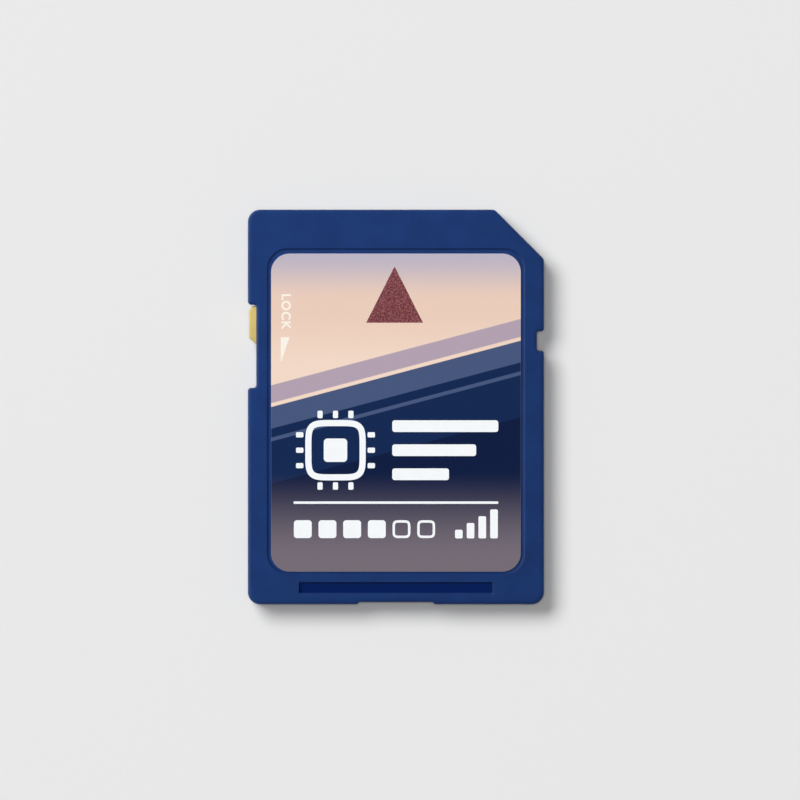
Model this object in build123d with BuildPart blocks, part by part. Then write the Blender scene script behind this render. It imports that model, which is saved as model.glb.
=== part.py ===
from build123d import *
import os
from math import radians, sqrt, tan

# Flash memory card with a write-lock slider, in the pieces it is assembled from.
# Millimetres: X across the card, Y towards the nose that enters a slot first, Z up out of the label face.
# The origin is the middle of the back face, on which the card lies.

# Outline of the card
card_width = 24.0
card_length = 32.0
card_thickness = 2.1
corner_cut = 4.0
corner_radius = 1.0
cut_corner_radius = 0.5
face_edge_radius = 0.18
back_edge_bevel = 0.2
seam_bevel = 0.04

# Guide rails along both long edges
rail_width = 0.75
rail_height = 1.4
rail_bevel = 0.08

# Shell walls
side_wall = 1.2
nose_wall = 0.7
tail_wall = 2.2
front_wall = 0.24
back_wall = 0.35
cavity_radius = 0.4

# Tongues on the back shell's walls that locate the front shell, and pads that hold the board down
tongue_width = 0.5
tongue_length = 1.4
tongue_height = 0.4
tongue_clearance = 0.03
tongue_tail_margin = 3.5
tongue_middle_margin = 10.5
tongue_nose_margin = 5.2
pad_width = 0.5
pad_length = 2.0
pad_clearance = 0.03

# Label and its recess
recess_side_margin = 1.54
recess_nose_margin = 3.12
recess_tail_margin = 2.42
recess_depth = 0.14
recess_slope = 45
recess_radius = 1.7
label_margin = 0.2
label_drop = 0.1
label_radius = 1.5
label_thickness = 0.09

# Finger-nail groove near the tail, its floor falling towards the tail
groove_side_margin = 4.15
groove_width = 0.86
groove_tail_margin = 0.93
groove_depth = 0.34
groove_lip = 0.14

# Shallow relief in the middle of the tail edge
relief_width = 6.3
relief_depth = 0.17
relief_slope = 45

# Write-lock notch in the left edge
lock_notch_setback = 7.7
lock_notch_length = 6.75
lock_notch_depth = 0.68
lock_notch_radius = 0.25

# Stop notch in the right edge
stop_notch_setback = 9.85
stop_notch_length = 1.6
stop_notch_depth = 0.57
stop_notch_radius = 0.2

# Lock slider: a tab outside the notch floor and a body held behind it
tab_base = 3.09
tab_reach = 0.58
tab_nose_slope = 0.36
tab_nose_cut = 0.26
tab_tail_slope = 0.54
tab_edge_radius = 0.12
slider_thickness = 0.6
slider_body_width = 0.85
slider_ear = 0.6
slider_clearance = 0.05
slider_end_gap = 0.14
lock_wall = 0.5
guide_rib = 0.45

# Contacts: eight in a row behind the nose, a ninth behind the cut corner, each in a window of the back
contact_steps = 7
contact_side_margin = 2.4
contact_last_step = 1.7
contact_nose_margin = 1.2
contact_length = 4.0
contact_thickness = 0.03
contact_bevel = 0.15
contact_gap = 0.4
contact_land_margin = 0.15
window_rib = 0.6
window_margin = 0.2
window_ramp = 0.3
window_lead_in = 0.25
window_wall = 0.6

# Circuit board and what holds it
board_thickness = 0.4
board_clearance = 0.1
board_ledge = 0.45
support_width = 0.5
support_pitch = 5.0
support_count = 3

# Chips and small components on the board
chip_margin = 1.05
chip_standoff = 0.05
chip_headroom = 0.05
chip_edge_bevel = 0.08
chip_mark_radius = 0.4
chip_mark_margin = 1.0
chip_mark_depth = 0.05
lead_board_margin = 0.7
lead_reach = 0.8
lead_shoulder = 0.15
lead_slope_run = 0.25
lead_thickness = 0.1
lead_width = 0.2
lead_pitch = 0.5
lead_edge_margin = 0.2
controller_size = 6.0
controller_x = 1.0
land_pitch = 0.65
land_length = 0.35
land_width = 0.25
land_edge_margin = 0.6
component_gap = 1.1
component_length = 1.0
component_width = 0.5
component_cap = 0.25
component_cap_lift = 0.03
capacitor_height = 0.4
capacitor_pitch = 1.8
capacitor_count = 4
resistor_height = 0.3
resistor_count = 6

# Length by which a cutting profile runs past the face that it opens
overcut = 1.0

# Edges and heights that follow from the sizes
half_width = card_width / 2
nose_y = card_length / 2
tail_y = -card_length / 2
rail_step = card_thickness - rail_height
seam_height = card_thickness - rail_height / 2
recess_floor = card_thickness - recess_depth
roof_height = recess_floor - front_wall
recess_width = card_width - 2 * recess_side_margin
recess_length = card_length - recess_nose_margin - recess_tail_margin
recess_y = tail_y + recess_tail_margin + recess_length / 2
recess_run = recess_depth * tan(radians(recess_slope))
groove_length = card_width - 2 * groove_side_margin
groove_tail_y = tail_y + groove_tail_margin
groove_nose_y = groove_tail_y + groove_width

lock_floor_x = -half_width + lock_notch_depth
lock_nose_y = nose_y - lock_notch_setback
lock_tail_y = lock_nose_y - lock_notch_length
lock_y = (lock_nose_y + lock_tail_y) / 2
stop_y = nose_y - stop_notch_setback - stop_notch_length / 2

pocket_outer_x = lock_floor_x + lock_wall
pocket_inner_x = pocket_outer_x + slider_body_width + 2 * slider_clearance
pocket_nose_y = lock_nose_y + slider_ear
pocket_tail_y = lock_tail_y - slider_ear
pocket_depth = slider_thickness / 2 + slider_clearance
lock_block_x = pocket_inner_x + guide_rib
lock_block_nose_y = pocket_nose_y + guide_rib
lock_block_tail_y = pocket_tail_y - guide_rib

cavity_half_width = half_width - side_wall
cavity_nose_y = nose_y - nose_wall
cavity_tail_y = tail_y + tail_wall
cut_line = half_width + nose_y - corner_cut
cavity_cut_line = cut_line - nose_wall * sqrt(2)
board_cut_line = cavity_cut_line - board_clearance * sqrt(2)
board_half_width = cavity_half_width - board_clearance
board_tail_y = cavity_tail_y + board_clearance
board_top = rail_step + board_thickness

contact_pitch = (card_width - 2 * contact_side_margin - contact_last_step) / contact_steps
contact_width = contact_pitch - window_rib - 2 * window_margin
last_contact_width = 2 * (contact_last_step - contact_width / 2 - contact_gap)
contact_nose_y = nose_y - contact_nose_margin
contact_rear_y = contact_nose_y - contact_length
cut_contact_x = half_width - contact_side_margin
cut_contact_nose_y = board_cut_line - cut_contact_x - contact_width / 2 - contact_land_margin
row_contact_xs = [cut_contact_x - step * contact_pitch for step in range(1, contact_steps + 1)]
last_contact_x = row_contact_xs[-1] - contact_last_step
hollow_nose_y = cut_contact_nose_y - contact_length - window_margin - window_ramp - window_wall

memory_tail_y = board_tail_y + chip_margin
memory_nose_y = lock_block_tail_y - board_clearance - chip_margin
memory_y = (memory_tail_y + memory_nose_y) / 2
memory_width = memory_nose_y - memory_tail_y
memory_half_length = board_half_width - lead_board_margin - lead_reach
chip_bottom = board_top + chip_standoff
chip_top = roof_height - chip_headroom
lead_plane = (chip_bottom + chip_top) / 2
controller_y = memory_nose_y + component_gap + controller_size / 2
capacitor_y = controller_y + controller_size / 2 + component_gap
resistor_y = contact_rear_y - component_gap

os.makedirs("parts", exist_ok=True)

# Outline shared by both shells, with its cut corner, side notches and tail relief
with BuildSketch() as card_outline:
    Rectangle(card_width, card_length)
    chamfer(card_outline.vertices().group_by(Axis.Y)[-1].sort_by(Axis.X)[-1], corner_cut)
    fillet(card_outline.vertices().filter_by(lambda corner: min(corner.X, corner.Y) < 0), corner_radius)
    fillet(card_outline.vertices().filter_by(lambda corner: min(corner.X, corner.Y) > 0), cut_corner_radius)
    with Locations((-half_width, lock_y)):
        Rectangle(2 * lock_notch_depth, lock_notch_length, mode=Mode.SUBTRACT)
    with Locations((half_width, stop_y)):
        Rectangle(2 * stop_notch_depth, stop_notch_length, mode=Mode.SUBTRACT)
    with Locations((0, tail_y)):
        Trapezoid(relief_width + 2 * relief_depth, 2 * relief_depth, relief_slope, mode=Mode.SUBTRACT)
    lock_corners = card_outline.vertices().filter_by(
        lambda corner: corner.X < 0 and abs(corner.Y - lock_y) < lock_notch_length
    )
    fillet(lock_corners, lock_notch_radius)
    stop_corners = card_outline.vertices().filter_by(
        lambda corner: corner.X > 0 and abs(corner.Y - stop_y) < stop_notch_length
    )
    fillet(stop_corners, stop_notch_radius)

# Hollow between the shells, which goes round the block that holds the lock slider
with BuildSketch() as cavity_outline:
    with BuildLine():
        Polyline(
            (-cavity_half_width, cavity_tail_y),
            (cavity_half_width, cavity_tail_y),
            (cavity_half_width, cavity_cut_line - cavity_half_width),
            (cavity_cut_line - cavity_nose_y, cavity_nose_y),
            (-cavity_half_width, cavity_nose_y),
            close=True,
        )
    make_face()
    with Locations((lock_block_x, lock_block_tail_y)):
        Rectangle(
            half_width,
            lock_block_nose_y - lock_block_tail_y,
            align=(Align.MAX, Align.MIN),
            mode=Mode.SUBTRACT,
        )
    fillet(cavity_outline.vertices(), cavity_radius)

# Room for the slider's body and, through the notch floor, for its tab
with BuildSketch() as slider_pocket:
    with Locations((pocket_outer_x, pocket_tail_y)):
        Rectangle(
            pocket_inner_x - pocket_outer_x,
            pocket_nose_y - pocket_tail_y,
            align=(Align.MIN, Align.MIN),
        )
    with Locations((pocket_outer_x, lock_tail_y)):
        Rectangle(lock_wall + lock_notch_depth, lock_notch_length, align=(Align.MAX, Align.MIN))

# Places of the tongues in the side walls, and of the pads beside them over the board's edges
fixing_ys = (tail_y + tongue_tail_margin, tail_y + tongue_middle_margin, nose_y - tongue_nose_margin)
tongue_x = half_width - side_wall / 2
pad_x = board_half_width - pad_width / 2
tongue_places = [(side * tongue_x, y) for side in (-1, 1) for y in fixing_ys]
pad_places = [(side * pad_x, y) for side in (-1, 1) for y in fixing_ys]

# Front shell
with BuildPart() as front_shell:
    with BuildSketch(Plane.XY.offset(seam_height)):
        add(card_outline.sketch)
    extrude(amount=card_thickness - seam_height)
    fillet(front_shell.faces().sort_by(Axis.Z)[-1].edges(), face_edge_radius)
    chamfer(front_shell.faces().sort_by(Axis.Z)[0].edges(), seam_bevel)
    with BuildSketch(Plane.XY.offset(seam_height)):
        add(cavity_outline.sketch)
    extrude(amount=roof_height - seam_height, mode=Mode.SUBTRACT)
    with BuildSketch(Plane.XY.offset(seam_height)):
        add(slider_pocket.sketch)
    extrude(amount=pocket_depth, mode=Mode.SUBTRACT)
    with BuildSketch(Plane.XY.offset(seam_height)):
        with Locations(*tongue_places):
            Rectangle(tongue_width + 2 * tongue_clearance, tongue_length + 2 * tongue_clearance)
    extrude(amount=tongue_height + tongue_clearance, mode=Mode.SUBTRACT)
    with BuildSketch(Plane.XY.offset(roof_height)):
        with Locations(*pad_places):
            Rectangle(pad_width, pad_length)
    extrude(amount=board_top + pad_clearance - roof_height)
    with BuildSketch(Plane.XY.offset(card_thickness)):
        with Locations((0, recess_y)):
            RectangleRounded(recess_width, recess_length, recess_radius)
    extrude(amount=-recess_depth, taper=recess_slope, mode=Mode.SUBTRACT)
    with BuildSketch(Plane.YZ):
        with BuildLine():
            Polyline(
                (groove_tail_y, card_thickness),
                (groove_tail_y, card_thickness - groove_depth),
                (groove_nose_y, card_thickness - groove_lip),
                (groove_nose_y, card_thickness),
                close=True,
            )
        make_face()
    extrude(amount=groove_length / 2, both=True, mode=Mode.SUBTRACT)
front_shell.part.label = "front_shell"
export_step(front_shell.part, "parts/front_shell.step")

# Back shell: a block between the rails, the rails above it, and a comb of contact windows at the nose
row_windows = [(x - contact_width / 2, x + contact_width / 2, contact_rear_y) for x in row_contact_xs[:-1]]
shared_window = (
    last_contact_x - last_contact_width / 2,
    row_contact_xs[-1] + contact_width / 2,
    contact_rear_y,
)
cut_window = (
    cut_contact_x - contact_width / 2,
    cut_contact_x + contact_width / 2,
    cut_contact_nose_y - contact_length,
)
with BuildPart() as back_shell:
    with BuildSketch(Plane.XY.offset(rail_step)):
        add(card_outline.sketch)
    extrude(amount=seam_height - rail_step)
    chamfer(back_shell.faces().sort_by(Axis.Z)[0].edges(), rail_bevel)
    chamfer(back_shell.faces().sort_by(Axis.Z)[-1].edges(), seam_bevel)
    with BuildSketch():
        add(card_outline.sketch)
        RectangleRounded(card_width - 2 * rail_width, card_length, corner_radius, mode=Mode.INTERSECT)
    extrude(amount=rail_step + rail_bevel)
    chamfer(back_shell.faces().sort_by(Axis.Z)[0].edges(), back_edge_bevel)
    with BuildSketch(Plane.XY.offset(rail_step)):
        add(cavity_outline.sketch)
    extrude(amount=seam_height - rail_step, mode=Mode.SUBTRACT)
    with BuildSketch(Plane.XY.offset(seam_height)):
        add(slider_pocket.sketch)
    extrude(amount=-pocket_depth, mode=Mode.SUBTRACT)
    with BuildSketch(Plane.XY.offset(back_wall)):
        add(cavity_outline.sketch)
        offset(amount=-board_ledge)
        with Locations((0, hollow_nose_y)):
            Rectangle(card_width, card_length, align=(Align.CENTER, Align.MIN), mode=Mode.SUBTRACT)
        with GridLocations(support_pitch, 0, support_count, 1):
            Rectangle(support_width, card_length, mode=Mode.SUBTRACT)
    extrude(amount=rail_step - back_wall, mode=Mode.SUBTRACT)
    for left_x, right_x, rear_y in row_windows + [shared_window, cut_window]:
        window_rear_y = rear_y - window_margin
        with BuildSketch(Plane.YZ.offset(left_x - window_margin)):
            with BuildLine():
                Polyline(
                    (window_rear_y - window_ramp, -overcut),
                    (window_rear_y - window_ramp, 0),
                    (window_rear_y, rail_step),
                    (nose_y - window_lead_in, rail_step),
                    (nose_y, rail_step + window_lead_in),
                    (nose_y + overcut, rail_step + window_lead_in),
                    (nose_y + overcut, -overcut),
                    close=True,
                )
            make_face()
        extrude(amount=right_x - left_x + 2 * window_margin, mode=Mode.SUBTRACT)
    with BuildSketch(Plane.XY.offset(seam_height)):
        with Locations(*tongue_places):
            Rectangle(tongue_width, tongue_length)
    extrude(amount=tongue_height)
back_shell.part.label = "back_shell"
export_step(back_shell.part, "parts/back_shell.step")

# Lock slider, at the unlocked end of its notch
tab_nose_y = lock_nose_y - slider_end_gap
tab_tail_y = tab_nose_y - tab_base
tab_y = (tab_nose_y + tab_tail_y) / 2
tab_tip_x = lock_floor_x - tab_reach
slider_outer_x = pocket_outer_x + slider_clearance
with BuildPart() as lock_slider:
    with BuildSketch(Plane.XY.offset(seam_height - slider_thickness / 2)):
        with Locations((slider_outer_x, tab_y)):
            Rectangle(slider_body_width, tab_base + 2 * slider_ear, align=(Align.MIN, Align.CENTER))
        with BuildLine():
            Polyline(
                (slider_outer_x, tab_nose_y),
                (tab_tip_x + tab_nose_cut, tab_nose_y),
                (tab_tip_x, tab_nose_y - tab_nose_slope),
                (tab_tip_x, tab_tail_y + tab_tail_slope),
                (lock_floor_x, tab_tail_y),
                (slider_outer_x, tab_tail_y),
                close=True,
            )
        make_face()
    extrude(amount=slider_thickness)
    tab_edges = lock_slider.edges().filter_by(
        lambda edge: edge.bounding_box().min.X < lock_floor_x - tab_edge_radius
    )
    fillet(tab_edges, tab_edge_radius)
lock_slider.part.label = "lock_slider"
export_step(lock_slider.part, "parts/lock_slider.step")

# Film label on the floor of the recess, stuck a little towards the tail
with BuildPart() as label:
    with BuildSketch(Plane.XY.offset(recess_floor)):
        with Locations((0, recess_y - label_drop)):
            RectangleRounded(
                recess_width - 2 * (recess_run + label_margin),
                recess_length - 2 * (recess_run + label_margin),
                label_radius,
            )
    extrude(amount=label_thickness)
label.part.label = "label"
export_step(label.part, "parts/label.step")

# Circuit board, resting on the ledge, the supports and the window comb
with BuildPart() as circuit_board:
    with BuildSketch(Plane.XY.offset(rail_step)):
        add(cavity_outline.sketch)
        offset(amount=-board_clearance)
    extrude(amount=board_thickness)
circuit_board.part.label = "circuit_board"
export_step(circuit_board.part, "parts/circuit_board.step")

# Contacts, numbered as cards of this kind number them
row_contacts = [(index + 1, x, contact_nose_y, contact_width) for index, x in enumerate(row_contact_xs)]
last_contact = (len(row_contacts) + 1, last_contact_x, contact_nose_y, last_contact_width)
cut_contact = (len(row_contacts) + 2, cut_contact_x, cut_contact_nose_y, contact_width)
for number, x, front_y, width in row_contacts + [last_contact, cut_contact]:
    with BuildPart() as contact:
        with BuildSketch(Plane.XY.offset(rail_step)):
            with Locations((x, front_y)):
                pad = Rectangle(width, contact_length, align=(Align.CENTER, Align.MAX))
            chamfer(pad.vertices(), contact_bevel)
        extrude(amount=-contact_thickness)
    contact.part.label = f"contact_{number}"
    export_step(contact.part, f"parts/contact_{number}.step")


def chip_package(x, y, length, width):
    """Moulded block with bevelled upper edges and a round mark beside its first connection."""
    with BuildPart() as package:
        with BuildSketch(Plane.XY.offset(chip_bottom)):
            with Locations((x, y)):
                Rectangle(length, width)
        extrude(amount=chip_top - chip_bottom)
        chamfer(package.faces().sort_by(Axis.Z)[-1].edges(), chip_edge_bevel)
        with BuildSketch(Plane.XY.offset(chip_top)):
            with Locations((x - length / 2 + chip_mark_margin, y + width / 2 - chip_mark_margin)):
                Circle(chip_mark_radius)
        extrude(amount=-chip_mark_depth, mode=Mode.SUBTRACT)
    return package


# Flash memory in a thin small-outline package
memory_chip = chip_package(0, memory_y, 2 * memory_half_length, memory_width)
memory_chip.part.label = "memory_chip"
export_step(memory_chip.part, "parts/memory_chip.step")

# Its leads, bent from the middle of the package down to the board
lead_rows = int((memory_width - 2 * lead_edge_margin) / lead_pitch) + 1
lead_ys = [memory_y + (row - (lead_rows - 1) / 2) * lead_pitch for row in range(lead_rows)]
lead_bend_x = memory_half_length + lead_shoulder
with BuildPart() as memory_chip_leads:
    with BuildSketch(*[Plane.XZ.offset(-y) for y in lead_ys]):
        with BuildLine():
            Polyline(
                (memory_half_length, lead_plane + lead_thickness / 2),
                (lead_bend_x, lead_plane + lead_thickness / 2),
                (lead_bend_x + lead_slope_run, board_top + lead_thickness),
                (memory_half_length + lead_reach, board_top + lead_thickness),
                (memory_half_length + lead_reach, board_top),
                (lead_bend_x + lead_slope_run - lead_thickness / 2, board_top),
                (lead_bend_x - lead_thickness / 2, lead_plane - lead_thickness / 2),
                (memory_half_length, lead_plane - lead_thickness / 2),
                close=True,
            )
        make_face()
        mirror(about=Plane.YZ)
    extrude(amount=lead_width / 2, both=True)
memory_chip_leads.part.label = "memory_chip_leads"
export_step(memory_chip_leads.part, "parts/memory_chip_leads.step")

# Controller in a flat package without leads
controller_chip = chip_package(controller_x, controller_y, controller_size, controller_size)
controller_chip.part.label = "controller_chip"
export_step(controller_chip.part, "parts/controller_chip.step")

# Solder lands under its four edges
land_count = int((controller_size - 2 * land_edge_margin) / land_pitch) + 1
land_span = controller_size - land_length
with BuildPart() as controller_chip_lands:
    with BuildSketch(Plane.XY.offset(board_top)):
        with Locations((controller_x, controller_y)):
            with GridLocations(land_span, land_pitch, 2, land_count):
                Rectangle(land_length, land_width)
            with GridLocations(land_pitch, land_span, land_count, 2):
                Rectangle(land_width, land_length)
    extrude(amount=chip_standoff)
controller_chip_lands.part.label = "controller_chip_lands"
export_step(controller_chip_lands.part, "parts/controller_chip_lands.step")


def chip_component(x, y, height):
    """Ceramic block along Y with a slightly larger metal cap on each end."""
    with BuildPart() as component:
        with BuildSketch(Plane.XY.offset(board_top + component_cap_lift)):
            with Locations((x, y)):
                Rectangle(component_width - 2 * component_cap_lift, component_length - 2 * component_cap)
        extrude(amount=height - 2 * component_cap_lift)
        with BuildSketch(Plane.XY.offset(board_top)):
            with Locations((x, y)):
                with GridLocations(0, component_length - component_cap, 1, 2):
                    Rectangle(component_width, component_cap)
        extrude(amount=height)
    return component


# Capacitors in a row beside the controller
for index in range(capacitor_count):
    capacitor_x = controller_x + (index - (capacitor_count - 1) / 2) * capacitor_pitch
    capacitor = chip_component(capacitor_x, capacitor_y, capacitor_height)
    capacitor.part.label = f"capacitor_{index + 1}"
    export_step(capacitor.part, f"parts/capacitor_{index + 1}.step")

# Resistors in line with the contacts that they serve
for index, resistor_x in enumerate(row_contact_xs[:resistor_count]):
    resistor = chip_component(resistor_x, resistor_y, resistor_height)
    resistor.part.label = f"resistor_{index + 1}"
    export_step(resistor.part, f"parts/resistor_{index + 1}.step")
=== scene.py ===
from collections import namedtuple

import bpy
import numpy as np
from bpy.props import FloatProperty, FloatVectorProperty, PointerProperty, StringProperty
from bpy.types import Operator, Panel, PropertyGroup
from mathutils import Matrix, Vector


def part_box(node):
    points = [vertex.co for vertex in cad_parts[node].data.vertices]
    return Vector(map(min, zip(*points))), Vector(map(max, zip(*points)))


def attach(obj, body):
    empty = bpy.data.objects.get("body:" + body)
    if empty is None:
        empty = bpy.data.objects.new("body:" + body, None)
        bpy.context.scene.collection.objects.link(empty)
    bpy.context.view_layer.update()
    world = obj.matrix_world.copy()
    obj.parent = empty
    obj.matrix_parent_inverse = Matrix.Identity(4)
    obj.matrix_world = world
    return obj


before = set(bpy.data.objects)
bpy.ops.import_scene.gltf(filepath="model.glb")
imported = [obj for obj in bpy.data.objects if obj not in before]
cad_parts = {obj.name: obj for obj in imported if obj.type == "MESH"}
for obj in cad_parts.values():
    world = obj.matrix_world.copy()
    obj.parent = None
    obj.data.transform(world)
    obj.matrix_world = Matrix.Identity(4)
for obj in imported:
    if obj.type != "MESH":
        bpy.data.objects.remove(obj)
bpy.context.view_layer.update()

bl_info = {
    "name": "Memory card finish",
    "version": (1, 0, 0),
    "blender": (4, 5, 0),
    "location": "3D View > Sidebar > Memory card",
    "description": "Finishes the pieces of a packed memory card and sets them on a studio floor",
    "category": "Object",
}

MM = 0.001
Finish = namedtuple("Finish", "material tree shader position")


def linear(red, green, blue):
    """Scene-linear colour of a display colour given in steps of 255."""
    shares = np.array((red, green, blue)) / 255
    return tuple(np.where(shares > 0.04045, ((shares + 0.055) / 1.055) ** 2.4, shares / 12.92))


def colour_property(name, description, default):
    """Colour that a user may change."""
    return FloatVectorProperty(
        name=name, description=description, subtype="COLOR", size=3, min=0, max=1, default=default
    )


def length_property(name, description, default):
    """Length in metres that a user may change."""
    return FloatProperty(name=name, description=description, unit="LENGTH", precision=6, default=default)


def share_property(name, description, default):
    """Share between nothing and all that a user may change."""
    return FloatProperty(name=name, description=description, subtype="FACTOR", min=0, max=1, default=default)


def power_property(name, description, default):
    """Power of a lamp in watts that a user may change."""
    return FloatProperty(name=name, description=description, unit="POWER", min=0, default=default)


def tone_property(name, description, default):
    """Brightness of a part of the room that a user may change."""
    return FloatProperty(name=name, description=description, min=0, default=default)


class PlasticFinish(PropertyGroup):
    """Plastic of the two shells and of the lock slider."""

    shell: colour_property("Shell", "Plastic of both shells", linear(22, 51, 104))
    # Painted shade: the groove's floor gets this darker blue in place of the shell's colour, for the shade
    # that falls in the groove.
    groove: colour_property("Groove", "Plastic on the floor of the finger-nail groove", linear(0, 28, 87))
    slider: colour_property("Slider", "Plastic of the lock slider", linear(209, 184, 112))
    grain: length_property("Grain", "Size of the grains of the mould texture", 0.09 * MM)
    patch: length_property("Patch", "Size of the patches in which the plastic's tone drifts", 2.2 * MM)
    edge: length_property("Edge", "Rounding of the moulded edges", 0.045 * MM)
    groove_edge: length_property("Groove edge", "Rounding of the finger-nail groove's edges", 0.1 * MM)
    outer_edge: length_property("Outer edge", "Rounding along the outline", 0.3 * MM)
    tail_edge: length_property("Tail edge", "Rounding along the tail", 0.45 * MM)
    slider_edge: length_property("Slider edge", "Rounding of the lock slider's edges", 0.14 * MM)
    roughness: share_property("Roughness", "Roughness of the moulded faces", 0.46)
    # The tone's range covers both the random patches and the painted light falloff across the card.
    tone: share_property("Tone", "How far the plastic's tone goes up and down", 0.2)
    # Painted light: this share of the tone is a painted light falloff across the card, lighter towards the
    # upper left and darker towards the lower right; the rest is random patches.
    painted_falloff_share: share_property("Drift", "Share of the tone that drifts across the card, not in patches", 0.6)


class LabelFields(PropertyGroup):
    """Colour fields printed on the film label."""

    lilac: colour_property("Lilac", "Field along the nose edge", linear(187, 180, 196))
    blush: colour_property("Blush", "Field that fades out of the lilac", linear(234, 204, 186))
    peach: colour_property("Peach", "Field above the bands", linear(242, 216, 198))
    mauve: colour_property("Mauve", "Uppermost band", linear(178, 160, 176))
    slate: colour_property("Slate", "Band between mauve and navy", linear(70, 86, 124))
    navy: colour_property("Navy", "Broad middle band", linear(17, 39, 80))
    deep: colour_property("Deep navy", "Lowest band", linear(10, 26, 62))
    foot: colour_property("Foot", "Haze along the tail edge", linear(116, 107, 117))
    film: colour_property("Film", "Unprinted film at the label's edges", linear(214, 216, 226))
    border: length_property("Border", "Unprinted width along the edges", 0.05 * MM)
    slant: FloatProperty(
        name="Slant", description="Rise of the bands to the right", subtype="ANGLE", default=0.26
    )
    corner: length_property("Corner", "Radius of the label's corners", 1.5 * MM)


class LabelInk(PropertyGroup):
    """Marks printed over the colour fields."""

    white: colour_property("White ink", "Marks on the dark fields", linear(250, 253, 255))
    cream: colour_property("Cream ink", "Legend beside the lock slider", linear(255, 247, 235))
    maroon: colour_property("Maroon ink", "Insertion arrow", linear(116, 56, 64))
    fleck: colour_property("Fleck", "Light flecks in the insertion arrow", linear(172, 116, 114))
    thickness: length_property("Thickness", "Thickness of the printed ink", 0.012 * MM)
    legend: StringProperty(name="Legend", description="Word beside the lock slider", default="LOCK")
    legend_height: length_property("Legend height", "Height of the legend's capitals", 0.77 * MM)
    legend_run: length_property("Legend run", "Length of the legend along the card", 2.88 * MM)
    arrow_base: length_property("Arrow base", "Width of the insertion arrow", 4.6 * MM)
    arrow_height: length_property("Arrow height", "Height of the insertion arrow", 4.5 * MM)


class InnerFinish(PropertyGroup):
    """Metals, board, chips and small components."""

    gold: colour_property("Gold", "Plating of the contacts", (0.86, 0.62, 0.25))
    tin: colour_property("Tin", "Plating of leads, lands and end caps", (0.66, 0.65, 0.62))
    lacquer: colour_property("Lacquer", "Solder lacquer on the circuit board", linear(12, 62, 42))
    resin: colour_property("Resin", "Moulded bodies of the chips", linear(34, 34, 36))
    capacitor: colour_property("Capacitor", "Ceramic of the capacitors", linear(172, 140, 106))
    resistor: colour_property("Resistor", "Glaze of the resistors", linear(38, 38, 42))
    cap: length_property("End cap", "Length of a component's metal end", 0.25 * MM)


class StudioSetup(PropertyGroup):
    """Floor, lamps, room and camera."""

    floor: colour_property("Floor", "Pale floor", linear(232, 232, 232))
    key: power_property("Key", "Large lamp up to the left", 208.0)
    top: power_property("Top", "Lamp overhead, which lifts the shadows", 25.0)
    fill: share_property("Fill", "Light from all round", 0.1)
    underside: share_property("Underside", "Light on the card's back, from below the floor", 0.5)
    wall: tone_property("Wall", "Tone of the wall on the left, seen in gloss", 2.2)
    ceiling: tone_property("Ceiling", "Tone overhead, seen in gloss", 0.06)
    lamp_height: length_property("Lamp height", "Height of the lamps over the floor", 3.0)
    view_width: length_property("View width", "Width that the camera sees at the label", 64.85 * MM)
    view_height: length_property("View height", "Height of the camera over the label", 1.0)
    view_x: length_property("View X", "Place of the camera across the card", 0.33 * MM)
    view_y: length_property("View Y", "Place of the camera along the card", 0.57 * MM)


def fill_inputs(tree, node, inputs):
    """Sets each named input of a node, or links it where the value is a socket."""
    for name, value in inputs.items():
        if isinstance(value, bpy.types.NodeSocket):
            tree.links.new(value, node.inputs[name])
        else:
            node.inputs[name].default_value = value
    return node


def add_node(tree, kind, inputs, **settings):
    """Shader node of a kind, with its settings and inputs."""
    node = tree.nodes.new("ShaderNode" + kind)
    for name, value in settings.items():
        setattr(node, name, value)
    return fill_inputs(tree, node, inputs)


def calc(tree, operation, first, second=0.0):
    """Result of a Math node."""
    return add_node(tree, "Math", {0: first, 1: second}, operation=operation).outputs[0]


def vector_calc(tree, operation, first, second=(0, 0, 0)):
    """Vector result of a Vector Math node."""
    return add_node(tree, "VectorMath", {0: first, 1: second}, operation=operation).outputs["Vector"]


def measure(tree, operation, first, second=(0, 0, 0)):
    """Single value of a Vector Math node, such as a length or a dot product."""
    return add_node(tree, "VectorMath", {0: first, 1: second}, operation=operation).outputs["Value"]


def axes_of(tree, vector):
    """X, Y and Z of a vector."""
    return add_node(tree, "SeparateXYZ", {"Vector": vector}).outputs


def smooth_step(tree, value, start, end):
    """Mask that goes smoothly from 0 at start to 1 at end."""
    inputs = {"Value": value, "From Min": start, "From Max": end}
    return add_node(tree, "MapRange", inputs, interpolation_type="SMOOTHSTEP").outputs["Result"]


def spread(tree, value, low, high):
    """Value from 0 to 1 spread over another range."""
    return add_node(tree, "MapRange", {"Value": value, "To Min": low, "To Max": high}).outputs["Result"]


def blend(tree, mask, first, second):
    """First colour where the mask is 0, second where it is 1."""
    return add_node(tree, "Mix", {0: mask, 6: first, 7: second}, data_type="RGBA").outputs[2]


def between(tree, share, first, second):
    """First value where the share is 0, second where it is 1."""
    return add_node(tree, "Mix", {0: share, 2: first, 3: second}).outputs[0]


def veil(tree, mask, cover, first, second):
    """First colour, with the second laid over it by the mask, as strongly as the cover."""
    return blend(tree, calc(tree, "MULTIPLY", mask, cover), first, second)


def opaque(colour, shade=1.0):
    """Colour with full alpha, lighter or darker by a factor."""
    return (colour[0] * shade, colour[1] * shade, colour[2] * shade, 1.0)


def shaded(tree, mask, colour, darkest, lightest):
    """Colour that goes from one shade of itself where the mask is 0 to another where it is 1."""
    return blend(tree, mask, opaque(colour, darkest), opaque(colour, lightest))


def grey(tone):
    """Grey of a tone, with full alpha."""
    return (tone, tone, tone, 1.0)


def noise(tree, position, scale, detail=2.0):
    """Noise from 0 to 1 over a position."""
    inputs = {"Vector": position, "Scale": scale, "Detail": detail}
    return add_node(tree, "TexNoise", inputs).outputs["Fac"]


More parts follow.
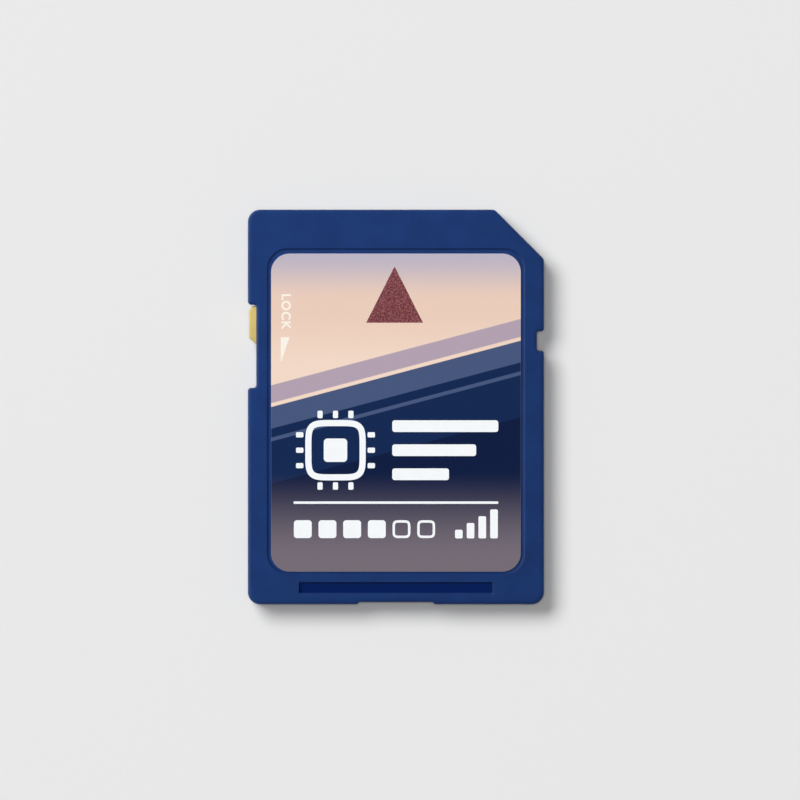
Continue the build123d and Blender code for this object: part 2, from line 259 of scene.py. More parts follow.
def inside_box(tree, position, middle, half, softness):
    """Mask that is 1 inside a box in millimetres and 0 outside, over a soft edge."""
    offset = vector_calc(tree, "ABSOLUTE", vector_calc(tree, "SUBTRACT", position, middle))
    past = axes_of(tree, vector_calc(tree, "SUBTRACT", offset, half))
    furthest = calc(tree, "MAXIMUM", calc(tree, "MAXIMUM", past["X"], past["Y"]), past["Z"])
    return smooth_step(tree, furthest, softness, -softness)


def new_group(name, inputs, outputs):
    """Empty shader node group with named sockets, and its input and output nodes."""
    group = bpy.data.node_groups.new(name, "ShaderNodeTree")
    for in_out, sockets in (("INPUT", inputs), ("OUTPUT", outputs)):
        for socket, kind in sockets.items():
            group.interface.new_socket(socket, in_out=in_out, socket_type="NodeSocket" + kind)
    return group, group.nodes.new("NodeGroupInput").outputs, group.nodes.new("NodeGroupOutput")


def place_group(tree, name, inputs):
    """Outputs of a node group placed in a material with its own values."""
    node = tree.nodes.new("ShaderNodeGroup")
    node.node_tree = bpy.data.node_groups[name]
    return fill_inputs(tree, node, inputs).outputs


def build_moulded_grain():
    """Group: fine grain of a spark-eroded mould, and the slow random change of a plastic's tone."""
    group, given, result = new_group(
        "moulded_grain",
        {"Position": "Vector", "Grain": "Float", "Patch": "Float"},
        {"Height": "Float", "Tone": "Float"},
    )
    grain_scale = calc(group, "DIVIDE", 1.0, given["Grain"])
    patch_scale = calc(group, "DIVIDE", 1.0, given["Patch"])
    height = noise(group, given["Position"], grain_scale)
    tone = noise(group, given["Position"], patch_scale, detail=5.0)
    fill_inputs(group, result, {"Height": height, "Tone": tone})


def build_rub_lines():
    """Group: thin marks along Y, where a thing has rubbed in a slot; noise stretched along the marks."""
    group, given, result = new_group(
        "rub_lines",
        {"Position": "Vector", "Width": "Float", "Length": "Float"},
        {"Lines": "Float"},
    )
    sizes = {"X": given["Width"], "Y": given["Length"], "Z": given["Length"]}
    stretch = add_node(group, "CombineXYZ", sizes).outputs["Vector"]
    stretched = vector_calc(group, "DIVIDE", given["Position"], stretch)
    lines = smooth_step(group, noise(group, stretched, scale=1.0, detail=3.0), start=0.55, end=0.72)
    fill_inputs(group, result, {"Lines": lines})


def new_finish(name):
    """Material with its Principled shader and the position on the piece in millimetres."""
    material = bpy.data.materials.new(name)
    material.use_nodes = True
    tree = material.node_tree
    tree.nodes.clear()
    shader = tree.nodes.new("ShaderNodeBsdfPrincipled")
    add_node(tree, "OutputMaterial", {"Surface": shader.outputs["BSDF"]})
    place = add_node(tree, "TexCoord", {}).outputs["Object"]
    in_millimetres = {"Vector": place, "Scale": (1 / MM, 1 / MM, 1 / MM)}
    position = add_node(tree, "Mapping", in_millimetres).outputs["Vector"]
    return Finish(material, tree, shader, position)


def mould_grain(finish, grain, patch):
    """Height and tone of the shared grain on a finish, for grains and patches in millimetres."""
    inputs = {"Position": finish.position, "Grain": grain, "Patch": patch}
    return place_group(finish.tree, "moulded_grain", inputs)


def rub_marks(finish, width, length):
    """Mask of the shared rub lines on a finish, for lines of a width and length in millimetres."""
    inputs = {"Position": finish.position, "Width": width, "Length": length}
    return place_group(finish.tree, "rub_lines", inputs)["Lines"]


def raised(tree, height, depth, edge=None):
    """Normal of a surface with a height map of a depth, over edges rounded by a radius."""
    inputs = {"Height": height, "Distance": depth, "Strength": 1.0}
    if edge is not None:
        inputs["Normal"] = add_node(tree, "Bevel", {"Radius": edge}, samples=6).outputs["Normal"]
    return add_node(tree, "Bump", inputs).outputs["Normal"]


def dress(names, material):
    """Gives a material to CAD nodes."""
    for name in names:
        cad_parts[name].material_slots[0].material = material


def moulded_plastic(finish, colour, plastic, depth, edge, specular, painted_falloff=0.5):
    """Satin plastic: toned in random patches and by a painted light falloff across the card, lighter at the
    upper left and darker at the lower right, grained by the mould, rubbed faintly along Y and rounded at its
    edges. Gives its colour."""
    tree = finish.tree
    rub_strength = 0.05
    rub_shade = 2.0
    roughness_swing = 0.025
    grain = mould_grain(finish, plastic.grain / MM, plastic.patch / MM)
    lines = rub_marks(finish, width=0.12, length=5.0)
    patches = smooth_step(tree, grain["Tone"], start=0.3, end=0.7)
    # Painted light: the tone mixes the random patches with the painted light falloff, by the falloff's
    # share.
    tone = between(tree, plastic.painted_falloff_share, patches, painted_falloff)
    toned = shaded(tree, tone, colour, 1 - plastic.tone, 1 + plastic.tone)
    rubbed = calc(tree, "MULTIPLY", lines, rub_strength)
    smoothest = plastic.roughness - roughness_swing
    roughest = plastic.roughness + roughness_swing
    roughness = spread(tree, patches, smoothest, roughest)
    plain = blend(tree, rubbed, toned, opaque(colour, rub_shade))
    inputs = {
        "Base Color": plain,
        "Roughness": calc(tree, "SUBTRACT", roughness, rubbed),
        "Normal": raised(tree, grain["Height"], depth, edge),
        "Specular IOR Level": specular,
    }
    fill_inputs(tree, finish.shader, inputs)
    return plain


def printed_ink(name, colour):
    """Screen-printed ink: a little uneven in cover and gloss."""
    finish = new_finish(name)
    tree = finish.tree
    grain = mould_grain(finish, grain=0.06, patch=0.7)
    inputs = {
        "Base Color": shaded(tree, grain["Tone"], colour, darkest=0.93, lightest=1.0),
        "Roughness": spread(tree, grain["Tone"], low=0.42, high=0.56),
        "Normal": raised(tree, grain["Height"], depth=0.002 * MM),
        "Specular IOR Level": 0.3,
    }
    fill_inputs(tree, finish.shader, inputs)
    return finish.material


def grid_faces(rows, columns, closed):
    """Quads of a grid of points that run row by row; a closed grid joins its last row to its first."""
    row = np.arange(rows if closed else rows - 1)[:, None]
    column = np.arange(columns - 1)[None, :]
    here = row * columns + column
    there = (row + 1) % rows * columns + column
    return np.stack((here, here + 1, there + 1, there), axis=-1).reshape(-1, 4)


def patch_surface(corners):
    """Flat patch: the bilinear mean of four corners, P = (1-u)(1-v) A + u(1-v) B + u v C + (1-u) v D."""
    first, second, third, fourth = (np.array(corner, float) for corner in corners)
    shares = np.linspace(0, 1, 9)
    u, v = (share[..., None] for share in np.meshgrid(shares, shares))
    points = (1 - u) * (1 - v) * first + u * (1 - v) * second + u * v * third + (1 - u) * v * fourth
    return points, False


def bar_surface(centre, length, width, radius, upright=False):
    """Bar with rounded corners: at x along it the half width is w/2 - r + sqrt(r^2 - s^2), where s is how
    far x lies past the start of the rounding, and y is v times that half width. An upright bar is turned
    a quarter."""
    u, v = np.meshgrid(np.linspace(-1, 1, 33), np.linspace(-1, 1, 5))
    x = length / 2 * np.sin(u * np.pi / 2)
    past = np.clip(np.abs(x) - (length / 2 - radius), 0, radius)
    y = v * (width / 2 - radius + np.sqrt(radius**2 - past**2))
    turned = (-y, x) if upright else (x, y)
    return np.stack((centre[0] + turned[0], centre[1] + turned[1]), axis=-1), False


def frame_surface(centre, side, stroke, power=5.0):
    """Rounded square frame: a strip carried along the superellipse |x|^n + |y|^n = (side/2)^n, its width
    laid along the path's own normal, which is the path's tangent turned a quarter."""
    turn = np.linspace(0, 2 * np.pi, 97)[:-1]
    circle = np.stack((np.cos(turn), np.sin(turn)), axis=-1)
    path = side / 2 * (np.sign(circle) * np.abs(circle) ** (2 / power))
    tangent = np.roll(path, -1, axis=0) - np.roll(path, 1, axis=0)
    tangent /= np.linalg.norm(tangent, axis=1, keepdims=True)
    normal = np.stack((tangent[:, 1], -tangent[:, 0]), axis=-1)
    across = np.linspace(-0.5, 0.5, 3)[None, :, None] * stroke
    return np.array(centre) + path[:, None, :] + across * normal[:, None, :], True


def flat_mesh(name, surfaces, height):
    """Mesh of flat surfaces at a height; each is a grid of points, and whether the grid is closed."""
    points, faces, count = [], [], 0
    for grid, closed in surfaces:
        rows, columns = grid.shape[:2]
        points.append(grid.reshape(-1, 2))
        faces.append(grid_faces(rows, columns, closed) + count)
        count += rows * columns
    heights = np.full((count, 1), height)
    mesh = bpy.data.meshes.new(name)
    vertices = np.hstack((np.concatenate(points), heights))
    mesh.from_pydata(vertices.tolist(), [], np.concatenate(faces).tolist())
    return mesh


def lay_ink(name, mesh, material, ink):
    """Object of a flat ink mesh, thickened upwards and riding on the card."""
    mesh.materials.append(material)
    piece = bpy.data.objects.new(name, mesh)
    bpy.context.scene.collection.objects.link(piece)
    wall = piece.modifiers.new("ink_thickness", "SOLIDIFY")
    wall.thickness = ink.thickness
    wall.offset = 1.0
    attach(piece, "card")


def print_ink(name, surfaces, material, ink):
    """Piece of ink on the label, from flat surfaces given in millimetres."""
    scaled = [(grid * MM, closed) for grid, closed in surfaces]
    lay_ink(name, flat_mesh(name, scaled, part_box("label")[1].z), material, ink)


class MEMORY_CARD_OT_groups(Operator):
    """Builds the effects that several finishes share"""

    bl_idname = "memory_card.groups"
    bl_label = "Shared effects"

    def execute(self, context):
        build_moulded_grain()
        build_rub_lines()
        return {"FINISHED"}


class MEMORY_CARD_OT_shells(Operator):
    """Finishes both shells in satin blue plastic, with a painted light falloff across the card and painted
    shade on the finger-nail groove's floor
    """

    bl_idname = "memory_card.shells"
    bl_label = "Shells"

    groove_y = -14.64

    def execute(self, context):
        plastic = context.scene.memory_card_plastic
        finish = new_finish("shell_plastic")
        tree, position = finish.tree, finish.position
        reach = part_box("front_shell")[1] / MM
        edge = self.edge_radius(tree, position, reach, plastic)
        # Painted light falloff: the shell's colour runs from lighter at the upper left to darker at the
        # lower right.
        falloff_way = (-1, 0.8, 0)
        falloff_reach = 25.0
        along = measure(tree, "DOT_PRODUCT", position, falloff_way)
        painted_falloff = smooth_step(tree, along, -falloff_reach, falloff_reach)
        plain = moulded_plastic(
            finish, plastic.shell, plastic, depth=0.004 * MM, edge=edge, specular=0.375, painted_falloff=painted_falloff
        )
        # Painted shade: the floor of the finger-nail groove is masked and laid over with the darker groove
        # colour, for the shade in the recess.
        floor_drop = 0.24
        floor_half = (7.86, 0.45, 0.17)
        floor_middle = (0, self.groove_y, reach.z - floor_drop)
        groove = inside_box(tree, position, floor_middle, floor_half, softness=0.03)
        colour = blend(tree, groove, plain, opaque(plastic.groove))
        fill_inputs(tree, finish.shader, {"Base Color": colour})
        dress(("front_shell", "back_shell"), finish.material)
        return {"FINISHED"}

    def edge_radius(self, tree, position, reach, plastic):
        """Rounding of an edge by its place: wide along the outline, widest at the tail, fine inside it and
        a little wider at the finger-nail groove."""
        rim = 1.0
        rim_softness = 0.2
        cut_line = 24.0
        cut_fade = 1.4
        groove_surround = (8.2, 0.7)
        tall = reach.z + rim
        inner_half = (reach.x - rim, reach.y - rim, tall)
        middle = inside_box(tree, position, (0, 0, 0), inner_half, rim_softness)
        diagonal = measure(tree, "DOT_PRODUCT", position, (1, 1, 0))
        off_cut = smooth_step(tree, diagonal, cut_line - rim, cut_line - cut_fade * rim)
        middle = calc(tree, "MULTIPLY", middle, off_cut)
        beside_half = (*groove_surround, tall)
        beside = inside_box(tree, position, (0, self.groove_y, 0), beside_half, softness=0.1)
        tail_half = (reach.x + rim, rim, tall)
        tail = inside_box(tree, position, (0, -reach.y, 0), tail_half, rim_softness)
        inner_edge = spread(tree, beside, plastic.edge, plastic.groove_edge)
        outer_edge = spread(tree, tail, plastic.outer_edge, plastic.tail_edge)
        return between(tree, middle, outer_edge, inner_edge)


class MEMORY_CARD_OT_lock_slider(Operator):
    """Finishes the lock slider in yellow plastic"""

    bl_idname = "memory_card.lock_slider"
    bl_label = "Lock slider"

    def execute(self, context):
        plastic = context.scene.memory_card_plastic
        finish = new_finish("slider_plastic")
        moulded_plastic(
            finish, plastic.slider, plastic, depth=0.002 * MM, edge=plastic.slider_edge, specular=0.4
        )
        dress(("lock_slider",), finish.material)
        return {"FINISHED"}


class MEMORY_CARD_OT_label(Operator):
    """Prints soft colour fields and slanting bands on the film label"""

    bl_idname = "memory_card.label"
    bl_label = "Label"

    def execute(self, context):
        fields = context.scene.memory_card_fields
        finish = new_finish("printed_film")
        tree, position = finish.tree, finish.position
        bare_cover = 0.12
        film_haze = 0.006
        colour = self.colour_fields(tree, position, fields)
        bare = self.bare_border(tree, position, fields)
        colour = veil(tree, bare, bare_cover, colour, opaque(fields.film))
        grain = mould_grain(finish, grain=0.05, patch=3.5)
        haze = spread(tree, grain["Height"], 0.0, film_haze)
        inputs = {
            "Base Color": blend(tree, haze, colour, opaque(fields.film)),
            "Roughness": spread(tree, grain["Tone"], low=0.36, high=0.5),
            "Normal": raised(tree, grain["Height"], depth=0.0015 * MM, edge=0.02 * MM),
            "Specular IOR Level": 0.08,
        }
        fill_inputs(tree, finish.shader, inputs)
        dress(("label",), finish.material)
        return {"FINISHED"}

    def colour_fields(self, tree, position, fields):
        """Fields that fade along Y, and bands between two heights along the slant, in millimetres."""
        endless = -99.0
        softness = 0.03
        fades = ((3.0, 8.0, fields.blush), (8.5, 12.5, fields.lilac))
        bands = (
            (4.3, 2.9, fields.mauve),
            (2.6, endless, fields.slate),
            (0.9, endless, fields.navy),
            (0.2, -0.1, fields.slate),
            (-3.4, endless, fields.deep),
        )
        haze_start, haze_end = -5.0, -12.5
        along = axes_of(tree, position)["Y"]
        slant = (-np.sin(fields.slant), np.cos(fields.slant), 0)
        rise = measure(tree, "DOT_PRODUCT", position, slant)
        colour = opaque(fields.peach)
        for start, end, field in fades:
            colour = blend(tree, smooth_step(tree, along, start, end), colour, opaque(field))
        for upper, lower, field in bands:
            below = smooth_step(tree, rise, upper + softness, upper - softness)
            above = smooth_step(tree, rise, lower - softness, lower + softness)
            colour = blend(tree, calc(tree, "MULTIPLY", below, above), colour, opaque(field))
        haze = smooth_step(tree, along, haze_start, haze_end)
        return blend(tree, haze, colour, opaque(fields.foot))

    def bare_border(self, tree, position, fields):
        """Mask of the unprinted border, by the distance from a rectangle inset by the corner radius."""
        low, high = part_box("label")
        middle, half = (low + high) / (2 * MM), (high - low) / (2 * MM)
        radius = fields.corner / MM
        any_height = 9.0
        from_middle = vector_calc(tree, "SUBTRACT", position, (middle.x, middle.y, 0))
        inset = (half.x - radius, half.y - radius, any_height)
        past = vector_calc(tree, "SUBTRACT", vector_calc(tree, "ABSOLUTE", from_middle), inset)
        reach = measure(tree, "LENGTH", vector_calc(tree, "MAXIMUM", past))
        return smooth_step(tree, reach, radius - fields.border / MM, radius)


class MEMORY_CARD_OT_insertion_arrow(Operator):
    """Prints the flecked arrow that points to the nose"""

    bl_idname = "memory_card.insertion_arrow"
    bl_label = "Insertion arrow"

    def execute(self, context):
        ink = context.scene.memory_card_ink
        finish = new_finish("flecked_ink")
        tree = finish.tree
        pit_cover, pit_shade = 0.8, 0.5
        fleck_cover = 0.6
        grain = mould_grain(finish, grain=0.08, patch=0.11)
        flecks = smooth_step(tree, grain["Tone"], start=0.46, end=0.62)
        pits = smooth_step(tree, grain["Height"], start=0.54, end=0.38)
        toned = veil(tree, pits, pit_cover, opaque(ink.maroon), opaque(ink.maroon, pit_shade))
        inputs = {
            "Base Color": veil(tree, flecks, fleck_cover, toned, opaque(ink.fleck)),
            "Roughness": spread(tree, flecks, 0.5, 0.35),
            "Normal": raised(tree, grain["Height"], depth=0.003 * MM),
            "Specular IOR Level": 0.25,
        }
        fill_inputs(tree, finish.shader, inputs)
        centre, base, tip = -0.11, 6.84, 0.03
        half = ink.arrow_base / (2 * MM)
        top = base + ink.arrow_height / MM
        corners = ((centre - half, base), (centre + half, base), (centre + tip, top), (centre - tip, top))
        print_ink("insertion_arrow", [patch_surface(corners)], finish.material, ink)
        return {"FINISHED"}


class MEMORY_CARD_OT_lock_legend(Operator):
    """Prints the legend of the lock slider and the wedge that shows which way it locks"""

    bl_idname = "memory_card.lock_legend"
    bl_label = "Lock legend"

    def execute(self, context):
        ink = context.scene.memory_card_ink
        cream = printed_ink("cream_ink", ink.cream)
        lay_ink("lock_legend", self.legend_mesh(context, ink), cream, ink)
        wedge = ((-9.33, 3.67), (-9.27, 3.67), (-8.62, 5.66), (-9.33, 5.66))
        print_ink("lock_wedge", [patch_surface(wedge)], cream, ink)
        return {"FINISHED"}

    def legend_mesh(self, context, ink):
        """Mesh of the legend, turned a quarter to read towards the tail and scaled to its run and height."""
        left, top = -9.28 * MM, 9.14 * MM
        curve = bpy.data.curves.new("legend", "FONT")
        curve.body = ink.legend
        curve.space_character = 1.15
        curve.offset = 0.03
        text = bpy.data.objects.new("legend", curve)
        context.scene.collection.objects.link(text)
        mesh = bpy.data.meshes.new_from_object(text.evaluated_get(context.evaluated_depsgraph_get()))
        bpy.data.objects.remove(text)
        points = np.empty(len(mesh.vertices) * 3, np.float32)
        mesh.vertices.foreach_get("co", points)
        flat = points.reshape(-1, 3)[:, :2]
        low, high = flat.min(axis=0), flat.max(axis=0)
        run, rise = ((flat - low) / (high - low)).T
        height = np.full_like(run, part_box("label")[1].z)
        placed = (left + rise * ink.legend_height, top - run * ink.legend_run, height)
        mesh.vertices.foreach_set("co", np.stack(placed, axis=-1).astype(np.float32).ravel())
        mesh.shade_flat()
        mesh.update()
        return mesh


class MEMORY_CARD_OT_label_marks(Operator):
    """Prints plain marks on the label: a chip sign, bars, a rule, cells and steps"""

    bl_idname = "memory_card.label_marks"
    bl_label = "Label marks"

    def execute(self, context):
        ink = context.scene.memory_card_ink
        white = printed_ink("white_ink", ink.white)
        print_ink("chip_sign", self.chip_sign(), white, ink)

        bar_left, bar_width, bar_radius = -0.3, 0.95, 0.2
        bars = [
            bar_surface((bar_left + length / 2, y), length, bar_width, bar_radius)
            for length, y in ((8.6, -1.55), (6.8, -3.5), (4.6, -5.45))
        ]
        print_ink("label_bars", bars, white, ink)
        rule = bar_surface((0.0, -7.75), length=16.6, width=0.2, radius=0.05)
        print_ink("label_rule", [rule], white, ink)

        cell_y, cell_side, cell_radius = -9.9, 1.45, 0.25
        empty_side, empty_stroke = 1.25, 0.2
        full_cells, empty_cells = (-7.55, -5.55, -3.55, -1.55), (0.45, 2.45)
        cells = [bar_surface((x, cell_y), cell_side, cell_side, cell_radius) for x in full_cells]
        cells += [frame_surface((x, cell_y), empty_side, empty_stroke) for x in empty_cells]
        print_ink("label_cells", cells, white, ink)

        step_foot, step_width, step_radius = -10.65, 0.62, 0.12
        steps = [
            bar_surface((x, step_foot + height / 2), height, step_width, step_radius, upright=True)
            for x, height in ((5.1, 0.7), (6.05, 1.25), (7.0, 1.8), (7.95, 2.35))
        ]
        print_ink("label_steps", steps, white, ink)
        return {"FINISHED"}

    def chip_sign(self):
        """Surfaces of a square frame with a core in it and three legs on each side."""
        x, y = -4.9, -3.5
        side, stroke = 4.4, 0.5
        core, core_radius = 1.9, 0.3
        leg = {"length": 0.6, "width": 0.42, "radius": 0.1}
        leg_pitch, leg_offset = 1.25, 0.45
        surfaces = [frame_surface((x, y), side, stroke), bar_surface((x, y), core, core, core_radius)]
        for step in (-leg_pitch, 0.0, leg_pitch):
            for way in (-1, 1):
                reach = way * (side / 2 + stroke / 2 + leg_offset)
                surfaces.append(bar_surface((x + reach, y + step), **leg))
                surfaces.append(bar_surface((x + step, y + reach), **leg, upright=True))
        return surfaces


class MEMORY_CARD_OT_contacts(Operator):
    """Finishes the contacts in gold, wiped along Y by the springs of a slot"""

    bl_idname = "memory_card.contacts"
    bl_label = "Contacts"

    def execute(self, context):
        inner = context.scene.memory_card_inner
        finish = new_finish("gold_plating")
        tree = finish.tree
        wipe_cover = 0.35
        wipe_roughness = 0.12
        lines = rub_marks(finish, width=0.05, length=2.5)
        grain = mould_grain(finish, grain=0.04, patch=1.2)
        toned = shaded(tree, grain["Tone"], inner.gold, darkest=0.9, lightest=1.08)
        roughness = spread(tree, grain["Tone"], low=0.2, high=0.32)
        relief = calc(tree, "ADD", grain["Height"], lines)
        inputs = {
            "Base Color": veil(tree, lines, wipe_cover, toned, opaque(inner.tin)),
            "Metallic": 1.0,
            "Roughness": calc(tree, "ADD", roughness, calc(tree, "MULTIPLY", lines, wipe_roughness)),
            "Normal": raised(tree, relief, depth=0.001 * MM, edge=0.01 * MM),
        }
        fill_inputs(tree, finish.shader, inputs)
        dress([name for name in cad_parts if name.startswith("contact_")], finish.material)
        return {"FINISHED"}


class MEMORY_CARD_OT_circuit_board(Operator):
    """Finishes the board in solder lacquer over fine copper tracks"""

    bl_idname = "memory_card.circuit_board"
    bl_label = "Circuit board"

    def execute(self, context):
        inner = context.scene.memory_card_inner
        finish = new_finish("solder_lacquer")
        tree, position = finish.tree, finish.position
        bend_reach = (1.6, 0, 0)
        track_cover, track_shade = 0.5, 2.2
        bends = {"Vector": position, "Scale": 0.35, "Detail": 0.0}
        bent = add_node(tree, "TexNoise", bends).outputs["Color"]
        path = vector_calc(tree, "ADD", position, vector_calc(tree, "MULTIPLY", bent, bend_reach))
        wave = add_node(tree, "TexWave", {"Vector": path, "Scale": 0.7}, bands_direction="X").outputs["Fac"]
        tracks = smooth_step(tree, wave, start=0.55, end=0.75)
        grain = mould_grain(finish, grain=0.08, patch=2.0)
        toned = shaded(tree, grain["Tone"], inner.lacquer, darkest=0.8, lightest=1.15)
        relief = calc(tree, "ADD", tracks, grain["Height"])
        inputs = {
            "Base Color": veil(tree, tracks, track_cover, toned, opaque(inner.lacquer, track_shade)),
            "Roughness": spread(tree, grain["Tone"], low=0.3, high=0.44),
            "Normal": raised(tree, relief, depth=0.006 * MM),
        }
        fill_inputs(tree, finish.shader, inputs)
        dress(("circuit_board",), finish.material)
        return {"FINISHED"}


class MEMORY_CARD_OT_chips(Operator):
    """Finishes the chips in moulded resin, with tinned leads and lands"""

    bl_idname = "memory_card.chips"
    bl_label = "Chips"

    def execute(self, context):
        inner = context.scene.memory_card_inner
        finish = new_finish("chip_resin")
        tree = finish.tree
        grain = mould_grain(finish, grain=0.05, patch=1.5)
        inputs = {
            "Base Color": shaded(tree, grain["Tone"], inner.resin, darkest=0.8, lightest=1.25),
            "Roughness": spread(tree, grain["Height"], low=0.5, high=0.66),
            "Normal": raised(tree, grain["Height"], depth=0.006 * MM, edge=0.02 * MM),
        }
        fill_inputs(tree, finish.shader, inputs)
        dress(("memory_chip", "controller_chip"), finish.material)

        finish = new_finish("tin_plating")
        tree = finish.tree
        grain = mould_grain(finish, grain=0.03, patch=0.4)
        inputs = {
            "Base Color": shaded(tree, grain["Tone"], inner.tin, darkest=0.85, lightest=1.1),
            "Metallic": 1.0,
            "Roughness": spread(tree, grain["Height"], low=0.28, high=0.45),
            "Normal": raised(tree, grain["Height"], depth=0.001 * MM, edge=0.01 * MM),
        }
        fill_inputs(tree, finish.shader, inputs)
        dress(("memory_chip_leads", "controller_chip_lands"), finish.material)
        return {"FINISHED"}


class MEMORY_CARD_OT_components(Operator):
    """Finishes capacitors and resistors: ceramic in the middle, tin on both ends"""

    bl_idname = "memory_card.components"
    bl_label = "Capacitors and resistors"

    def execute(self, context):
        inner = context.scene.memory_card_inner
        softness = 0.01
        for kind, colour in (("capacitor", inner.capacitor), ("resistor", inner.resistor)):
            names = [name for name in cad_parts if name.startswith(kind)]
            low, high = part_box(names[0])
            finish = new_finish(kind + "_ceramic")
            tree = finish.tree
            along = axes_of(tree, finish.position)["Y"]
            middle = (low.y + high.y) / (2 * MM)
            offset = calc(tree, "ABSOLUTE", calc(tree, "SUBTRACT", along, middle))
            bare = (high.y - low.y) / (2 * MM) - inner.cap / MM
            ends = smooth_step(tree, offset, bare - softness, bare + softness)
            grain = mould_grain(finish, grain=0.04, patch=0.3)
            body = shaded(tree, grain["Tone"], colour, darkest=0.85, lightest=1.12)
            inputs = {
                "Base Color": blend(tree, ends, body, opaque(inner.tin)),
                "Metallic": ends,
                "Roughness": spread(tree, grain["Tone"], low=0.3, high=0.5),
                "Normal": raised(tree, grain["Height"], depth=0.002 * MM, edge=0.02 * MM),
            }
            fill_inputs(tree, finish.shader, inputs)
            dress(names, finish.material)
        return {"FINISHED"}


class MEMORY_CARD_OT_studio(Operator):
    """Sets up the pale floor, the soft lamps and a camera straight above the card"""

    bl_idname = "memory_card.studio"
    bl_label = "Studio"

    def execute(self, context):
        studio = context.scene.memory_card_studio
        self.lay_floor(context, studio)
        self.hang_lamps(context, studio)
        self.light_world(context, studio)
        self.aim_camera(context, studio)
        context.scene.view_settings.view_transform = "Standard"
        return {"FINISHED"}

    def lay_floor(self, context, studio):
        """Pale floor just under the card. It is clear from below, and under the card it lets bounced light
        through, so that the card's back shows from below."""
        gap = 0.01 * MM
        reach = 2 * studio.lamp_height
        corners = ((-reach, -reach), (reach, -reach), (reach, reach), (-reach, reach))
        mesh = flat_mesh("floor", [patch_surface(corners)], -gap)
        finish = new_finish("floor_board")
        tree = finish.tree
        grain = mould_grain(finish, grain=0.6, patch=60.0)
        inputs = {
            "Base Color": shaded(tree, grain["Tone"], studio.floor, darkest=0.995, lightest=1.005),
            "Roughness": 0.9,
            "Specular IOR Level": 0.0,
        }
        fill_inputs(tree, finish.shader, inputs)
        seen_from_below = add_node(tree, "NewGeometry", {}).outputs["Backfacing"]
        under_card = self.under_card(tree, finish.position)
        bounced = calc(tree, "SUBTRACT", 1.0, add_node(tree, "LightPath", {}).outputs["Is Camera Ray"])
        share = calc(tree, "MAXIMUM", seen_from_below, calc(tree, "MULTIPLY", under_card, bounced))
        clear = add_node(tree, "BsdfTransparent", {}).outputs["BSDF"]
        mixed = add_node(tree, "MixShader", {0: share, 1: finish.shader.outputs["BSDF"], 2: clear})
        tree.links.new(mixed.outputs["Shader"], tree.nodes["Material Output"].inputs["Surface"])
        mesh.materials.append(finish.material)
        floor = bpy.data.objects.new("floor", mesh)
        context.scene.collection.objects.link(floor)

    def under_card(self, tree, position):
        """Mask of the floor that the card's back face covers, with its cut corner, in millimetres."""
        softness = 0.02
        back_middle, back_half = (0, 0.05, 0), (11.0, 15.65, 1.0)
        cut_line = 23.6
        back = inside_box(tree, position, back_middle, back_half, softness)
        diagonal = measure(tree, "DOT_PRODUCT", position, (1, 1, 0))
        off_cut = smooth_step(tree, diagonal, cut_line + softness, cut_line - softness)
        return calc(tree, "MULTIPLY", back, off_cut)

    def hang_lamps(self, context, studio):
        """Wide key lamp on the left towards the nose, and a narrow lamp overhead that lifts the shadows,
        placed and sized in lamp heights. Both leave no glare, because gloss shows the walls."""
        lamps = (
            ("key_lamp", (-0.7, 0.7, 1.0), 1.0, studio.key),
            ("top_lamp", (0.0, 0.0, 1.0), 0.24, studio.top),
        )
        for name, place, size, power in lamps:
            light = bpy.data.lights.new(name, "AREA")
            light.shape = "DISK"
            light.size = size * studio.lamp_height
            light.energy = power
            lamp = bpy.data.objects.new(name, light)
            lamp.location = Vector(place) * studio.lamp_height
            lamp.visible_glossy = False
            context.scene.collection.objects.link(lamp)

    def light_world(self, context, studio):
        """Even fill, brighter from below; the floor's own tone where the camera looks past the floor; in
        gloss, a room with a pale wall on the left that fades towards the tail, a dim ceiling and the
        floor's tone below."""
        horizon_softness = 0.1
        tail_fade = -0.8
        wall_start, wall_full = 0.1, -0.9
        world = bpy.data.worlds.new("studio")
        world.use_nodes = True
        tree = world.node_tree
        tree.nodes.clear()
        path = add_node(tree, "LightPath", {}).outputs
        way = axes_of(tree, add_node(tree, "TexCoord", {}).outputs["Generated"])
        below = smooth_step(tree, way["Z"], 0.0, -horizon_softness)
        fill = blend(tree, below, grey(studio.fill), grey(studio.underside))
        tailwards = calc(tree, "MAXIMUM", calc(tree, "MULTIPLY", way["Y"], tail_fade), 0.0)
        leftwards = smooth_step(tree, calc(tree, "ADD", way["X"], tailwards), wall_start, wall_full)
        wall = blend(tree, leftwards, grey(studio.ceiling), grey(studio.wall))
        gloss = blend(tree, below, wall, opaque(studio.floor))
        seen = calc(tree, "MAXIMUM", path["Is Camera Ray"], path["Is Transmission Ray"])
        colour = blend(tree, path["Is Glossy Ray"], fill, gloss)
        colour = blend(tree, seen, colour, opaque(studio.floor))
        background = add_node(tree, "Background", {"Color": colour}).outputs["Background"]
        add_node(tree, "OutputWorld", {"Surface": background})
        context.scene.world = world

    def aim_camera(self, context, studio):
        """Long lens straight above the card, as wide at the label as the photograph."""
        lens = bpy.data.cameras.new("camera")
        lens.lens = lens.sensor_width * studio.view_height / studio.view_width
        lens.clip_start = 0.01
        lens.clip_end = 10.0
        camera = bpy.data.objects.new("camera", lens)
        camera.location = (studio.view_x, studio.view_y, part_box("label")[1].z + studio.view_height)
        context.scene.collection.objects.link(camera)
        context.scene.camera = camera


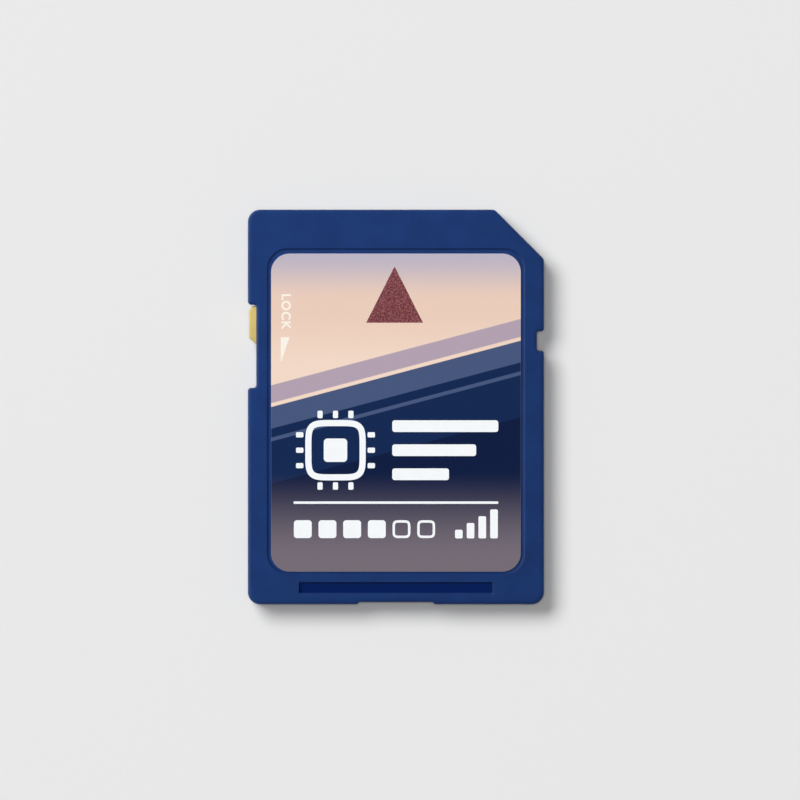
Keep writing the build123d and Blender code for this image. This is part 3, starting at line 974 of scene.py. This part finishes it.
class MEMORY_CARD_PT_finish(Panel):
    """Lists the steps that finish the card, and their colours and sizes"""

    bl_idname = "MEMORY_CARD_PT_finish"
    bl_label = "Memory card"
    bl_space_type = "VIEW_3D"
    bl_region_type = "UI"
    bl_category = "Memory card"

    def draw(self, context):
        for operator in OPERATORS:
            self.layout.operator(operator.bl_idname)
        for name, group in SETTINGS.items():
            box = self.layout.box()
            box.label(text=group.__doc__)
            for key in group.__annotations__:
                box.prop(getattr(context.scene, name), key)


SETTINGS = {
    "memory_card_plastic": PlasticFinish,
    "memory_card_fields": LabelFields,
    "memory_card_ink": LabelInk,
    "memory_card_inner": InnerFinish,
    "memory_card_studio": StudioSetup,
}
OPERATORS = (
    MEMORY_CARD_OT_groups,
    MEMORY_CARD_OT_shells,
    MEMORY_CARD_OT_lock_slider,
    MEMORY_CARD_OT_label,
    MEMORY_CARD_OT_insertion_arrow,
    MEMORY_CARD_OT_lock_legend,
    MEMORY_CARD_OT_label_marks,
    MEMORY_CARD_OT_contacts,
    MEMORY_CARD_OT_circuit_board,
    MEMORY_CARD_OT_chips,
    MEMORY_CARD_OT_components,
    MEMORY_CARD_OT_studio,
)


def register():
    """Registers the settings, the operators and the panel."""
    for name, group in SETTINGS.items():
        bpy.utils.register_class(group)
        setattr(bpy.types.Scene, name, PointerProperty(type=group))
    for kind in (*OPERATORS, MEMORY_CARD_PT_finish):
        bpy.utils.register_class(kind)


def unregister():
    """Takes the panel, the operators and the settings away again."""
    for kind in (MEMORY_CARD_PT_finish, *reversed(OPERATORS)):
        bpy.utils.unregister_class(kind)
    for name, group in SETTINGS.items():
        delattr(bpy.types.Scene, name)
        bpy.utils.unregister_class(group)


def main():
    """Registers the add-on and runs its operators in order."""
    register()
    bpy.ops.memory_card.groups()
    bpy.ops.memory_card.shells()
    bpy.ops.memory_card.lock_slider()
    bpy.ops.memory_card.label()
    bpy.ops.memory_card.insertion_arrow()
    bpy.ops.memory_card.lock_legend()
    bpy.ops.memory_card.label_marks()
    bpy.ops.memory_card.contacts()
    bpy.ops.memory_card.circuit_board()
    bpy.ops.memory_card.chips()
    bpy.ops.memory_card.components()
    bpy.ops.memory_card.studio()


if __name__ == "__main__":
    main()
